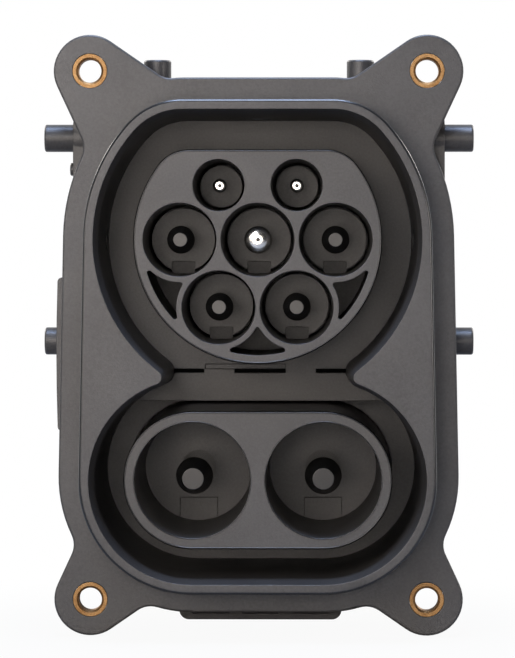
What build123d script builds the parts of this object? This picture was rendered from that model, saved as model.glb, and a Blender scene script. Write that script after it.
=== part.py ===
from build123d import *
import os
from math import copysign, cos, radians, sin, sqrt

os.makedirs("parts", exist_ok=True)

# A vehicle inlet for combined charging, in millimetres.
# The mating side faces -Y, +X is to the right as seen from there, and +Z is up.
# The origin is the centre of the four mounting holes, on the rear face of the flange.

# Places of the two contact groups
ac_centre_z = 21.2
dc_centre_z = -31.4
power_pitch = 17.0
lower_power_drop = 14.75
signal_pitch = 17.0
signal_rise = 11.9
dc_pitch = 28.7

# Flange with four drilled ears
hole_pitch_x = 74.5
hole_pitch_z = 116.9
ear_radius = 8.0
ear_flare_radius = 15.9
ear_flare_reach = 30.0
ear_flare_angle = 49.8
ear_blend = 5.0
flange_border = 5.3
flange_thickness = 5.2
flange_edge_round = 0.5

# Compression limiters pressed into the ears
limiter_outer_d = 7.6
limiter_bore_d = 5.1
limiter_chamfer = 0.25
fit_gap = 0.05

# Recess that takes the charging plug, and the collar round it
ac_recess_radius = 35.8
ac_recess_top = 28.4
ac_recess_blend = 14.0
dc_recess_radius = 22.5
neck_round = 1.6
collar_wall = 2.15
collar_height = 15.0
rim_round = 0.7
lead_in_width = 0.85
lead_in_depth = 6.6
recess_draft = 0.5
ac_recess_depth = 40.7
dc_recess_depth = 54.0
tub_wall = 2.6
tub_neck_round = 8.0
floor_thickness = 3.0

# Drain slots in the floor of the AC recess
drain_slot_height = 0.9
drain_slot_drop = 29.85
drain_slot_centre_width = 11.6
drain_slot_side_width = 6.9
drain_slot_side_x = 16.2
drain_step_height = 1.1
drain_step_depth = 0.25
drain_step_gap = 0.3

# Shoulder block behind the flange, with pads and posts for a lock drive
shoulder_depth = 24.5
side_pad_x = 41.3
side_pad_height = 54.0
top_pad_rise = 33.5
top_pad_width = 54.0
shoulder_round = 3.0
shoulder_wall = 2.4
core_gap = 1.2
core_front_wall = 1.5
post_d = 6.1
post_pitch = 45.25
post_length = 6.5
post_tip_round = 0.5
post_gap_to_flange = 1.15
post_root_wall = 1.6
lock_bore_d = 5.5
lock_gap_to_floor = 6.7
lock_seat_d = 10.0
lock_seat_depth = 2.2
nub_d = 2.9
nub_height = 0.85
nub_rise = 15.7

# Keying rib on the left side
key_rib_height = 34.2
key_rib_centre_z = -4.3
key_rib_x = 45.05
key_rib_bow = 0.3
key_rib_depth = 18.0
key_rib_width = 6.2
key_rib_wall = 2.0
key_rib_round = 1.0

# Drain duct below the DC recess
duct_width = 37.2
duct_bottom_z = -65.9
duct_front_y = 26.0
duct_back_y = 38.0
duct_wall = 1.8
duct_round = 2.2
duct_slot_width = 8.4
duct_slot_pitch = 11.4
duct_slot_height = 1.5
duct_slot_bar = 1.4
duct_drain_width = 6.0
duct_drain_length = 4.0
duct_drain_gap = 1.6

# Rear rim that carries the cover
rear_chamber_length = 7.0
rear_rim_width = 4.6
rear_rim_thickness = 4.0
rear_screw_inset = 1.4
cover_screw_ac_angles = (38.0, -14.0)
cover_screw_dc_angles = (-8.0, -62.0)
gasket_thickness = 1.0

# AC contact shroud
ac_face_setback = 2.0
ac_insert_radius = 26.85
ac_insert_top = 19.4
ac_insert_blend = 7.9
ac_insert_draft = 0.45
seat_gap = 0.3
chamber_radius = 8.05
chamber_draft = 0.3
signal_chamber_radius = 5.67
chamber_wall = 1.2
insert_rim_wall = 1.7
pocket_top_drop = 5.0
pocket_round = 0.5
pocket_depth = 38.0
ac_clamp_radius = 30.0
ac_clamp_top = 22.4
ac_clamp_blend = 9.0
clamp_thickness = 3.0
lug_radius = 2.8
lug_run = 6.0
scallop_gap = 0.3
ac_lug_reach = 32.4
ac_lug_angles = (33.0, 147.0, 213.0, 327.0)

# AC pin carrier
boss_setback = 27.2
boss_radius = 7.13
signal_boss_setback = 26.4
signal_boss_radius = 4.72
boss_key_width = 5.15
boss_key_drop = 4.85
boss_key_step = 0.35
boss_key_gap = 0.12
ac_carrier_thickness = 4.0
ac_retainer_radius = 26.5
ac_retainer_top = 18.0
ac_retainer_blend = 7.0
ac_retainer_thickness = 2.5
ac_retainer_screw_drop = 22.5

# AC power pins and signal pins
power_pin_d = 6.0
power_seat_d = 6.6
power_tip_setback = 4.5
power_nose_length = 5.2
power_tip_d = 2.9
cap_peg_d = 2.4
cap_peg_length = 3.0
cap_tip_round = 0.3
signal_pin_d = 3.0
signal_seat_d = 3.6
signal_tip_setback = 11.0
signal_nose_round = 0.6
earth_tip_setback = 7.0
earth_nose_round = 2.4
dimple_d = 0.6
dimple_depth = 0.3
power_shoulder_d = 9.2
signal_shoulder_d = 5.6
shoulder_length = 4.0
pin_seal_thickness = 1.6
power_tail_d = 7.6
power_tail_bore_d = 5.0
power_tail_length = 16.0
signal_tail_d = 3.6
signal_tail_bore_d = 2.0
signal_tail_length = 12.0
crimp_bore_depth = 11.0
running_gap = 0.1

# DC contact carrier
dc_face_setback = 4.7
dc_insert_radius = 14.85
dc_insert_draft = 0.75
dc_chamber_radius = 12.8
dc_chamber_draft = 0.45
dc_chamber_depth = 49.9
dc_pad_width = 8.65
dc_pad_drop = 7.0
dc_pad_step = 0.3
dc_clamp_radius = 18.2
dc_lug_reach = 19.3
dc_lug_angle = 62.0
dc_block_radius = 13.6
dc_block_length = 5.6
dc_seal_thickness = 2.4

# DC pins
dc_pin_d = 8.0
dc_seat_d = 8.8
dc_tip_setback = 5.5
dc_nose_length = 12.1
dc_tip_d = 4.5
dc_peg_d = 3.2
dc_peg_length = 4.0
dc_shoulder_d = 12.2
dc_shoulder_length = 6.0
dc_neck_d = 10.0
dc_neck_length = 4.0
dc_retainer_thickness = 3.0
dc_barrel_d = 15.0
dc_barrel_bore_d = 11.8
dc_barrel_length = 26.0
dc_crimp_depth = 22.0
sensor_width = 6.0
sensor_height = 4.0
sensor_length = 8.0
sensor_gap_to_barrel_end = 4.0
sensor_sink = 0.6

# Rear cover and cable glands
cover_inset = 2.5
cover_tail_inset = 3.5
cover_wall = 2.2
cover_flange_thickness = 3.0
cover_ac_length = 14.0
cover_dc_length = 36.0
cover_edge_round = 2.5
ac_stub_d = 27.0
dc_stub_d = 22.0
stub_length = 13.0
stub_wall = 1.8
stub_step = 2.0
gland_seal_length = 8.0
gland_seal_wall = 2.5
nut_gap = 0.3
nut_wall = 2.0
nut_length = 12.0
nut_end_wall = 2.0
nut_lip = 0.8
nut_rib_count = 12
nut_rib_d = 1.2

# Screws
screw_d = 3.0
screw_head_d = 5.4
screw_head_height = 2.2
screw_drive_d = 1.7
screw_drive_depth = 1.2
screw_grip = 5.5
short_screw_grip = 3.4
screw_boss_d = 5.6

# Planes across the inlet, worked out from the sizes above
rim_y = -flange_thickness - collar_height
ac_face_y = rim_y + ac_face_setback
dc_face_y = rim_y + dc_face_setback
power_boss_y = ac_face_y + boss_setback
signal_boss_y = ac_face_y + signal_boss_setback
power_pin_y = ac_face_y + power_tip_setback + power_nose_length
dc_pin_y = dc_face_y + dc_tip_setback + dc_nose_length
dc_chamber_floor_y = dc_face_y + dc_chamber_depth
ac_floor_y = rim_y + ac_recess_depth
dc_floor_y = rim_y + dc_recess_depth
lock_y = ac_floor_y - lock_gap_to_floor
post_y = post_gap_to_flange + post_d / 2
ac_gasket_y = ac_floor_y + floor_thickness
ac_clamp_y = ac_gasket_y + gasket_thickness
ac_carrier_y = ac_clamp_y + clamp_thickness
ac_retainer_y = ac_carrier_y + ac_carrier_thickness
ac_shoulder_y = ac_retainer_y - shoulder_length
ac_seal_y = ac_shoulder_y - pin_seal_thickness
dc_gasket_y = dc_floor_y + floor_thickness
dc_clamp_y = dc_gasket_y + gasket_thickness
dc_block_y = dc_clamp_y + clamp_thickness
dc_retainer_y = dc_block_y + dc_block_length
dc_shoulder_y = dc_retainer_y - dc_shoulder_length
dc_seal_y = dc_shoulder_y - dc_seal_thickness
dc_barrel_y = dc_retainer_y + dc_neck_length
rear_y = dc_gasket_y + rear_chamber_length
cover_y = rear_y + gasket_thickness
cover_body_y = cover_y + cover_flange_thickness
cover_ac_y = cover_body_y + cover_ac_length
cover_dc_y = cover_body_y + cover_dc_length

# Sizes of openings, worked out from the pieces that pass through them
recess_inset = lead_in_width + recess_draft
ac_opening_growth = ac_insert_draft + seat_gap
dc_opening_radius = dc_insert_radius + dc_insert_draft + seat_gap
dc_pocket_top_z = dc_centre_z + dc_opening_radius
tub_bottom_z = dc_centre_z - dc_recess_radius - tub_wall
rear_rim_border = tub_wall + rear_rim_width
cover_tail_radius = dc_recess_radius - cover_inset - cover_tail_inset
duct_slot_xs = (-duct_slot_pitch, 0, duct_slot_pitch)

# The four ears' mounting holes
ear_places = {
    f"{level}_{hand}": (side_x * hole_pitch_x / 2, side_z * hole_pitch_z / 2)
    for side_z, level in ((1, "upper"), (-1, "lower"))
    for side_x, hand in ((-1, "left"), (1, "right"))
}

# Contact places, named as on the real inlet
power_places = {
    "l1": (-power_pitch, ac_centre_z),
    "neutral": (power_pitch, ac_centre_z),
    "l2": (-power_pitch / 2, ac_centre_z - lower_power_drop),
    "l3": (power_pitch / 2, ac_centre_z - lower_power_drop),
    "earth": (0, ac_centre_z),
}
signal_places = {
    "control_pilot": (-signal_pitch / 2, ac_centre_z + signal_rise),
    "proximity": (signal_pitch / 2, ac_centre_z + signal_rise),
}
dc_places = {
    "dc_plus": (-dc_pitch / 2, dc_centre_z),
    "dc_minus": (dc_pitch / 2, dc_centre_z),
}


def front_plane(y):
    """A plane across the inlet at depth y, seen from the mating side."""
    return Plane(origin=(0, y, 0), x_dir=(1, 0, 0), z_dir=(0, -1, 0))


def slab(outline, y_front, y_back):
    """An outline given straight walls from y_front back to y_back."""
    return extrude(front_plane(y_back) * outline, amount=y_back - y_front)


def drafted(outline_at, sections):
    """Walls that slope from one section to the next, each given as (depth, inset)."""
    return loft([front_plane(y) * outline_at(inset) for y, inset in sections], ruled=True)


def turned(profile, x=0.0, z=0.0):
    """A turned piece on an axis along Y, from its (depth, radius) steps."""
    edge = [(0, profile[0][0])]
    edge += [(radius, y) for y, radius in profile]
    edge += [(0, profile[-1][0])]
    face = make_face(Polyline(*edge, close=True))
    return Pos(x, 0, z) * revolve(face, Axis.Y, 360)


def stepped(x, z, sections, end_y):
    """A turned piece of straight sections, each given as (start depth, diameter)."""
    starts = [y for y, _ in sections] + [end_y]
    profile = []
    for (y, diameter), next_y in zip(sections, starts[1:]):
        profile += [(y, diameter / 2), (next_y, diameter / 2)]
    return turned(profile, x, z)


def bar(x, z, diameter, y_front, y_back):
    """A plain round bar or bore along Y."""
    return turned([(y_front, diameter / 2), (y_back, diameter / 2)], x, z)


def ring(x, z, outer_d, inner_d, y_front, y_back):
    """A flat ring with its axis along Y."""
    return bar(x, z, outer_d, y_front, y_back) - bar(x, z, inner_d, y_front, y_back)


def towards(centre, target, distance):
    """The point at a distance from a centre, in the direction of a target."""
    return centre + (target - centre).normalized() * distance


def arc(centre, start, end):
    """The shorter arc about a centre from start to end."""
    middle = towards(centre, centre + (start - centre) + (end - centre), (start - centre).length)
    return ThreePointArc(start, middle, end)


def meeting(centre_a, reach_a, centre_b, reach_b, side):
    """Where two circles cross, on the given side of the line between their centres."""
    step = centre_b - centre_a
    along = (reach_a ** 2 - reach_b ** 2 + step.length ** 2) / (2 * step.length)
    across = side * sqrt(reach_a ** 2 - along ** 2)
    unit = step.normalized()
    return centre_a + unit * along + Vector(-unit.Y, unit.X) * across


def tangent_line(centre_a, radius_a, centre_b, radius_b, side):
    """The straight line that touches two circles from outside."""
    step = centre_b - centre_a
    along = (radius_a - radius_b) / step.length
    unit = step.normalized()
    normal = unit * along + Vector(-unit.Y, unit.X) * side * sqrt(1 - along ** 2)
    return Line(centre_a + normal * radius_a, centre_b + normal * radius_b)


def across(point):
    """The line from a point to its mirror image on the other side."""
    return Line(point, Vector(-point.X, point.Y))


def mirrored_face(half):
    """A face from the right side of its edge, its mirror image, and straight lines between them."""
    other = [mirror(edge, Plane.YZ) for edge in half]
    return make_face(half + other + [across(half[0] @ 0), across(half[-1] @ 1)])


def top_corner(radius, top, blend):
    """The arc that blends a flat top into the circle about the AC centre."""
    centre = Vector(0, ac_centre_z)
    corner = centre + Vector(sqrt((radius - blend) ** 2 - (top - blend) ** 2), top - blend)
    return arc(corner, corner + Vector(0, blend), towards(centre, corner, radius))


def flat_topped_disc(radius, top, blend):
    """A disc about the AC centre, cut flat at the top with blended corners."""
    corner = top_corner(radius, top, blend)
    start, bottom = corner @ 1, Vector(0, ac_centre_z - radius)
    round_side = ThreePointArc(start, bottom, Vector(-start.X, start.Y))
    return make_face([corner, round_side, mirror(corner, Plane.YZ), across(corner @ 0)])


def dc_slot(radius):
    """A long hole or block round both DC contacts."""
    return Pos(0, dc_centre_z) * SlotCenterToCenter(dc_pitch, 2 * radius)


def lobed_outline(border, rounding):
    """The flat-topped AC circle joined to the long DC hole, grown by a border."""
    ac, dc = Vector(0, ac_centre_z), Vector(dc_pitch / 2, dc_centre_z)
    ac_radius, dc_radius = ac_recess_radius + border, dc_recess_radius + border
    neck = meeting(ac, ac_radius + rounding, dc, dc_radius + rounding, 1)
    corner = top_corner(ac_radius, ac_recess_top + border, ac_recess_blend + border)
    ac_neck, dc_neck = towards(ac, neck, ac_radius), towards(dc, neck, dc_radius)
    ac_side = arc(ac, corner @ 1, ac_neck)
    dc_side = arc(dc, dc_neck, dc - Vector(0, dc_radius))
    return mirrored_face([corner, ac_side, arc(neck, ac_neck, dc_neck), dc_side])


def recess_outline(inset):
    """The plug's outline, drawn in by an inset."""
    return lobed_outline(-inset, neck_round + inset)


def tub_outline(border):
    """The outline of the tub at a distance outside the recess, with wide necks."""
    return lobed_outline(border, tub_neck_round + tub_wall - border)


def collar_outline(border):
    """The recess outline grown by a border, with straight sides from lobe to lobe."""
    ac, dc = Vector(0, ac_centre_z), Vector(dc_pitch / 2, dc_centre_z)
    ac_radius, dc_radius = ac_recess_radius + border, dc_recess_radius + border
    corner = top_corner(ac_radius, ac_recess_top + border, ac_recess_blend + border)
    side = tangent_line(ac, ac_radius, dc, dc_radius, 1)
    ac_side = arc(ac, corner @ 1, side @ 0)
    dc_side = arc(dc, side @ 1, dc - Vector(0, dc_radius))
    return mirrored_face([corner, ac_side, side, dc_side])


def ear_outline(side_x, side_z):
    """One ear: a round end with two straight sides that spread towards the flange."""
    tip = Vector(side_x * hole_pitch_x / 2, side_z * hole_pitch_z / 2)
    angle = radians(ear_flare_angle)
    root = tip - Vector(side_x * cos(angle), side_z * sin(angle)) * ear_flare_reach
    left = tangent_line(tip, ear_radius, root, ear_flare_radius, 1)
    right = tangent_line(tip, ear_radius, root, ear_flare_radius, -1)
    back = Line(left @ 1, right @ 1)
    return make_face([arc(tip, right @ 0, left @ 0), left, back, right])


def flange_outline():
    """The collar's outline with a border and four ears, blended where they meet."""
    body = collar_outline(collar_wall + flange_border)
    ears = [ear_outline(x, z) for x in (-1, 1) for z in (-1, 1)]
    flange = body
    known = list(body.vertices())
    for ear in ears:
        flange += ear
        known += list(ear.vertices())
    corners = [v for v in flange.vertices() if min((Vector(v) - Vector(k)).length for k in known) > fit_gap]
    return fillet(corners, ear_blend)


def bars(places, diameter, y_front, y_back):
    """Like round bars or bores along Y, one at each place."""
    return [bar(x, z, diameter, y_front, y_back) for x, z in places]


def cover_screw_places():
    """Where the rear cover's screws go, just outside the tub's wall."""
    reach = tub_wall + rear_screw_inset
    ac_reach, dc_reach = ac_recess_radius + reach, dc_recess_radius + reach
    places = []
    for side in (-1, 1):
        for angle in cover_screw_ac_angles:
            x, z = ac_reach * cos(radians(angle)), ac_reach * sin(radians(angle))
            places.append((side * x, ac_centre_z + z))
        for angle in cover_screw_dc_angles:
            x, z = dc_reach * cos(radians(angle)), dc_reach * sin(radians(angle))
            places.append((side * (dc_pitch / 2 + x), dc_centre_z + z))
    return places


def ac_lug_places():
    """Where the AC stack's screws go, round the contact shroud."""
    return [
        (ac_lug_reach * cos(radians(angle)), ac_centre_z + ac_lug_reach * sin(radians(angle)))
        for angle in ac_lug_angles
    ]


def dc_lug_places():
    """Where the DC carrier's screws go, at the four corners of the long hole."""
    x = dc_pitch / 2 + dc_lug_reach * cos(radians(dc_lug_angle))
    z = dc_lug_reach * sin(radians(dc_lug_angle))
    return [(side * x, dc_centre_z + rise * z) for side in (-1, 1) for rise in (-1, 1)]


def discs(places, radius):
    """One disc at each place."""
    return [Pos(x, z) * Circle(radius) for x, z in places]


def lug(x, z, centre_x, centre_z):
    """A screw lug that runs from its place towards a centre."""
    end = Vector(x, z)
    inward = (Vector(centre_x, centre_z) - end).normalized()
    middle = end + inward * (lug_run / 2)
    return Plane(origin=middle, x_dir=inward) * SlotCenterToCenter(lug_run, 2 * lug_radius)


def shoulder_outline(inset):
    """The block that carries the lock pads: level sides and top, with cut corners."""
    side, top = side_pad_x - inset, ac_centre_z + top_pad_rise - inset
    low, high = ac_centre_z - side_pad_height / 2 + inset, ac_centre_z + side_pad_height / 2 - inset
    half_top = top_pad_width / 2
    right = [(side, low), (side, high), (half_top, top)]
    left = [(-x, z) for x, z in reversed(right)]
    block = Polygon(*right, *left, align=None)
    return fillet(block.vertices(), shoulder_round)


def round_rod(foot, along, diameter, length):
    """A round rod or bore from its foot, in a given direction."""
    return extrude(Plane(origin=foot, z_dir=along) * Circle(diameter / 2), amount=length)


def rounded_rod(foot, along, diameter, length, rounding):
    """A round rod with a rounded tip."""
    rod = round_rod(foot, along, diameter, length)
    tip = rod.faces().sort_by(Axis(foot, along))[-1]
    return fillet(tip.edges(), rounding)


def pads():
    """The three lock pads: the middle of each and the direction it faces."""
    return {
        "left": ((-side_pad_x, 0, ac_centre_z), (-1, 0, 0)),
        "right": ((side_pad_x, 0, ac_centre_z), (1, 0, 0)),
        "top": ((0, 0, ac_centre_z + top_pad_rise), (0, 0, 1)),
    }


def post_feet():
    """The foot and direction of each of the six posts, two to a pad."""
    feet = []
    for middle, facing in pads().values():
        across = Vector(facing[2], 0, facing[0])
        for side in (-1, 1):
            feet.append((Vector(middle) + Vector(0, post_y, 0) + across * (side * post_pitch / 2), facing))
    return feet


def shoulder():
    """The cored block behind the flange with its posts, nub and lock ports."""
    block = slab(shoulder_outline(0), 0, shoulder_depth)
    cores = shoulder_outline(shoulder_wall) - tub_outline(tub_wall + core_gap)
    block -= slab(cores, core_front_wall, shoulder_depth)
    root_x = sqrt((ac_recess_radius + tub_wall / 2) ** 2 - (post_pitch / 2) ** 2)
    root_length = side_pad_x - root_x
    for foot, facing in post_feet():
        inward = Vector(facing) * -1
        block += round_rod(foot, inward, post_d + 2 * post_root_wall, root_length)
        block += rounded_rod(foot, facing, post_d, post_length, post_tip_round)
    nub_foot = (-side_pad_x, post_y, ac_centre_z + nub_rise)
    return block + rounded_rod(nub_foot, (-1, 0, 0), nub_d, nub_height, nub_height / 2)


def lock_ports():
    """The bores for a lock bolt, one through each pad, each with a seat for its seal."""
    cuts = []
    for middle, facing in pads().values():
        mouth, inward = Vector(middle) + Vector(0, lock_y, 0), Vector(facing) * -1
        reach = side_pad_x - ac_recess_radius + recess_inset + tub_wall
        cuts.append(round_rod(mouth, inward, lock_bore_d, reach))
        cuts.append(round_rod(mouth, inward, lock_seat_d, lock_seat_depth))
    return cuts


def key_rib():
    """The bowed rib on the left side that lets the inlet fit one way round only."""
    half = key_rib_height / 2
    left, right = -key_rib_x, -key_rib_x + key_rib_width
    bow = ThreePointArc((left + key_rib_bow, -half), (left, 0), (left + key_rib_bow, half))
    back = Polyline((left + key_rib_bow, half), (right, half), (right, -half), (left + key_rib_bow, -half))
    face = Pos(0, key_rib_centre_z) * make_face([bow, *back.edges()])
    corners = face.vertices().sort_by(Axis.X)[:2]
    rib = slab(fillet(corners, key_rib_round), 0, key_rib_depth)
    inside = Pos(right - key_rib_wall / 2, key_rib_centre_z)
    core = inside * Rectangle(key_rib_width - key_rib_wall, key_rib_height - 2 * key_rib_wall)
    return rib - slab(core, core_front_wall, key_rib_depth)


def duct():
    """The drain duct under the DC recess: closed in front but for three slots, open behind."""
    top_z = dc_centre_z - dc_recess_radius - tub_wall / 2
    height = top_z - duct_bottom_z
    outline = Pos(0, top_z - height / 2) * Rectangle(duct_width, height)
    lower = outline.vertices().sort_by(Axis.Y)[:2]
    shell = slab(fillet(lower, duct_round), duct_front_y, duct_back_y)
    inner_height = tub_bottom_z - duct_bottom_z - duct_wall
    inside = Pos(0, tub_bottom_z) * Rectangle(duct_width - 2 * duct_wall, 2 * inner_height)
    shell -= slab(inside, duct_front_y + duct_wall, duct_back_y)
    slot_z = duct_bottom_z + duct_slot_bar + duct_slot_height / 2
    for x in duct_slot_xs:
        slot = Pos(x, slot_z) * Rectangle(duct_slot_width, duct_slot_height)
        shell -= slab(slot, duct_front_y, duct_front_y + duct_wall)
    return shell


def duct_drains():
    """Holes through the tub's lower wall that let water down into the duct."""
    middle_y = dc_floor_y - duct_drain_gap - duct_drain_length / 2
    middle_z = tub_bottom_z + tub_wall / 2
    hole = Box(duct_drain_width, duct_drain_length, 2 * tub_wall)
    return [Pos(x, middle_y, middle_z) * hole for x in duct_slot_xs]


def drain_slots():
    """Three narrow slots in the floor of the AC recess, and the shallow step beside them."""
    z = ac_centre_z - drain_slot_drop
    slots = Pos(0, z) * Rectangle(drain_slot_centre_width, drain_slot_height)
    for side in (-1, 1):
        slots += Pos(side * drain_slot_side_x, z) * Rectangle(drain_slot_side_width, drain_slot_height)
    left = -drain_slot_side_x + drain_slot_side_width / 2 + drain_step_gap
    right = drain_slot_centre_width / 2
    step_z = z + drain_slot_height / 2 + drain_step_height / 2
    step = Pos((left + right) / 2, step_z) * Rectangle(right - left, drain_step_height)
    slots = slab(slots, ac_floor_y, ac_floor_y + floor_thickness / 2)
    return slots + slab(step, ac_floor_y, ac_floor_y + drain_step_depth)


def half_plane(z, side):
    """A field that covers all of the inlet above or below a level."""
    return Pos(0, z + side * hole_pitch_z) * Rectangle(2 * hole_pitch_z, 2 * hole_pitch_z)


def ac_disc(growth):
    """The AC shroud's outline, grown by a border."""
    return flat_topped_disc(ac_insert_radius + growth, ac_insert_top + growth, ac_insert_blend + growth)


def dc_disc(growth):
    """The DC carrier's outline, grown by a border."""
    return dc_slot(dc_insert_radius + growth)


def recess():
    """The space for the plug: a lead-in, drafted walls, and the deeper pocket round the DC contacts."""
    sections = [(rim_y, 0), (rim_y + lead_in_depth, lead_in_width), (ac_floor_y, recess_inset)]
    pocket = dc_slot(dc_recess_radius - recess_inset) & half_plane(dc_pocket_top_z, -1)
    return drafted(recess_outline, sections) + slab(pocket, ac_floor_y, dc_floor_y)


def rear_chamber():
    """The space behind the two floors for the carriers and wiring."""
    upper = flat_topped_disc(ac_recess_radius, ac_recess_top, ac_recess_blend)
    upper = upper & half_plane(dc_pocket_top_z + tub_wall, 1)
    return slab(upper, ac_gasket_y, rear_y) + slab(tub_outline(0), dc_gasket_y, rear_y)


def lug_rooms():
    """Room for both stacks' lugs and screw heads, where the chamber's wall comes near them."""
    diameter = max(2 * lug_radius, screw_head_d) + 2 * scallop_gap
    rooms = bars(ac_lug_places(), diameter, ac_carrier_y, rear_y)
    return rooms + bars(dc_lug_places(), diameter, dc_clamp_y, rear_y)


def front_housing():
    """The moulded body: flange, collar, recess, lock pads, duct and rear rim in one piece."""
    flange = slab(flange_outline(), -flange_thickness, 0)
    flange = fillet(flange.faces().sort_by(Axis.Y)[0].edges(), flange_edge_round)
    collar = slab(collar_outline(collar_wall), rim_y, 0)
    collar = fillet(collar.faces().sort_by(Axis.Y)[0].edges(), rim_round)
    body = flange + collar + slab(tub_outline(tub_wall), 0, rear_y)
    body += shoulder() + key_rib() + duct()
    body += slab(tub_outline(rear_rim_border), rear_y - rear_rim_thickness, rear_y)
    body += bars(cover_screw_places(), screw_boss_d, rear_y - screw_grip - floor_thickness, rear_y)
    body -= recess()
    body -= rear_chamber()
    body -= lug_rooms()
    body -= slab(ac_disc(ac_opening_growth), ac_floor_y, ac_gasket_y)
    body -= slab(dc_slot(dc_opening_radius), dc_floor_y, dc_gasket_y)
    body += bars(ac_lug_places(), screw_boss_d, ac_gasket_y, ac_carrier_y)
    body += bars(dc_lug_places(), screw_boss_d, dc_gasket_y, dc_clamp_y)
    body -= bars(ear_places.values(), limiter_outer_d + 2 * fit_gap, -flange_thickness, 0)
    body -= drain_slots()
    body -= lock_ports()
    body -= duct_drains()
    body -= screw_holes(cover_screw_places(), rear_y, screw_grip)
    body -= screw_holes(ac_lug_places(), ac_carrier_y, screw_grip)
    body -= screw_holes(dc_lug_places(), dc_clamp_y, short_screw_grip)
    return body


def screw_holes(places, mouth_y, grip):
    """Blind holes for screws that go in from behind."""
    return bars(places, screw_d + 2 * fit_gap, mouth_y - grip - fit_gap, mouth_y)


def through_holes(places, y_front, y_back):
    """Clearance holes for screws, through a plate."""
    return bars(places, screw_d + 2 * running_gap, y_front, y_back)


def screw(x, z, seat_y, shank_length):
    """A pan-head screw that goes in from behind, with a hollow for the driver."""
    head = turned([(seat_y, screw_head_d / 2), (seat_y + screw_head_height, screw_head_d / 2)], x, z)
    top = head.faces().sort_by(Axis.Y)[-1]
    head = chamfer(top.edges(), screw_head_height / 4)
    shank = bar(x, z, screw_d, seat_y - shank_length, seat_y)
    drive_y = seat_y + screw_head_height
    drive = slab(Pos(x, z) * RegularPolygon(screw_drive_d / 2, 6), drive_y - screw_drive_depth, drive_y)
    return head + shank - drive


def screws(places, seat_y, shank_length):
    """A set of like screws, as separate solids."""
    return Compound([screw(x, z, seat_y, shank_length).solid() for x, z in places])


def limiter(x, z):
    """A compression limiter: a plain tube with its bore chamfered at both mouths."""
    tube = ring(x, z, limiter_outer_d, limiter_bore_d, -flange_thickness, 0)
    circles = tube.edges().filter_by(GeomType.CIRCLE).sort_by(SortBy.RADIUS)
    return chamfer(circles[:2], limiter_chamfer)


def chamber_bores(y_back):
    """The seven contact chambers, each a little narrower at its floor."""
    cuts = []
    places = [(place, chamber_radius, power_boss_y) for place in power_places.values()]
    places += [(place, signal_chamber_radius, signal_boss_y) for place in signal_places.values()]
    for (x, z), radius, boss_y in places:
        narrow = radius - chamber_draft
        cuts.append(turned([(ac_face_y, radius), (boss_y, narrow), (y_back, narrow)], x, z))
    return cuts


def web_pockets():
    """The three cored pockets between the power chambers and the shroud's rim."""
    field = Pos(0, ac_centre_z) * Circle(ac_insert_radius - insert_rim_wall)
    field -= half_plane(ac_centre_z - pocket_top_drop, 1)
    for x, z in power_places.values():
        field -= Pos(x, z) * Circle(chamber_radius + chamber_wall)
    pockets = [make_face(face.edges()) for face in field.faces().sort_by(SortBy.AREA)[-3:]]
    return [fillet(pocket.vertices(), pocket_round) for pocket in pockets]


def ac_clamp_outline():
    """The rear flange of the AC stack, with scallops round the screw bosses."""
    plate = flat_topped_disc(ac_clamp_radius, ac_clamp_top, ac_clamp_blend)
    for disc in discs(ac_lug_places(), screw_boss_d / 2 + scallop_gap):
        plate -= disc
    return plate


def ac_contact_shroud():
    """The AC insert: a flat-topped block with seven deep chambers and three cored pockets."""
    body = drafted(ac_disc, [(ac_face_y, 0), (ac_clamp_y, ac_insert_draft)])
    body += slab(ac_clamp_outline(), ac_clamp_y, ac_carrier_y)
    body -= chamber_bores(ac_carrier_y)
    for pocket in web_pockets():
        body -= slab(pocket, ac_face_y, ac_face_y + pocket_depth)
    return body


def ac_shroud_gasket():
    """A flat seal between the AC shroud's rear flange and the recess floor."""
    return slab(ac_clamp_outline() - ac_disc(ac_opening_growth), ac_gasket_y, ac_clamp_y)


def power_boss(x, z):
    """A boss that closes a power chamber, with a low key that fills the gap at six o'clock."""
    key_reach = chamber_radius - chamber_draft - boss_key_gap
    key_middle = z - (boss_key_drop + key_reach) / 2
    key = Pos(x, key_middle) * Rectangle(boss_key_width, key_reach - boss_key_drop)
    boss = bar(x, z, 2 * boss_radius, power_boss_y, ac_carrier_y)
    boss -= slab(key, power_boss_y, power_boss_y + boss_key_step)
    limit = bar(x, z, 2 * key_reach, power_boss_y, ac_carrier_y)
    return boss + (slab(key, power_boss_y + boss_key_step, ac_carrier_y) & limit)


def ac_pin_carrier():
    """The plate behind the AC shroud, with seven bosses that hold the pins."""
    outline = flat_topped_disc(ac_clamp_radius, ac_clamp_top, ac_clamp_blend)
    for x, z in ac_lug_places():
        outline += lug(x, z, 0, ac_centre_z)
    body = slab(outline, ac_carrier_y, ac_retainer_y)
    for x, z in power_places.values():
        body += power_boss(x, z)
    for x, z in signal_places.values():
        body += bar(x, z, 2 * signal_boss_radius, signal_boss_y, ac_carrier_y)
    for x, z in power_places.values():
        body -= pin_seat(x, z, power_seat_d, power_shoulder_d, power_boss_y, ac_seal_y, ac_retainer_y)
    for x, z in signal_places.values():
        body -= pin_seat(x, z, signal_seat_d, signal_shoulder_d, signal_boss_y, ac_seal_y, ac_retainer_y)
    body -= through_holes(ac_lug_places(), ac_carrier_y, ac_retainer_y)
    return body - screw_holes(ac_retainer_screw_places(), ac_retainer_y, short_screw_grip)


def pin_seat(x, z, seat_d, shoulder_d, front_y, seal_y, back_y):
    """A stepped bore: narrow for the pin's seat, wide behind for its seal and shoulder."""
    return stepped(x, z, [(front_y, seat_d + 2 * fit_gap), (seal_y, shoulder_d + 2 * running_gap)], back_y)


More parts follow.
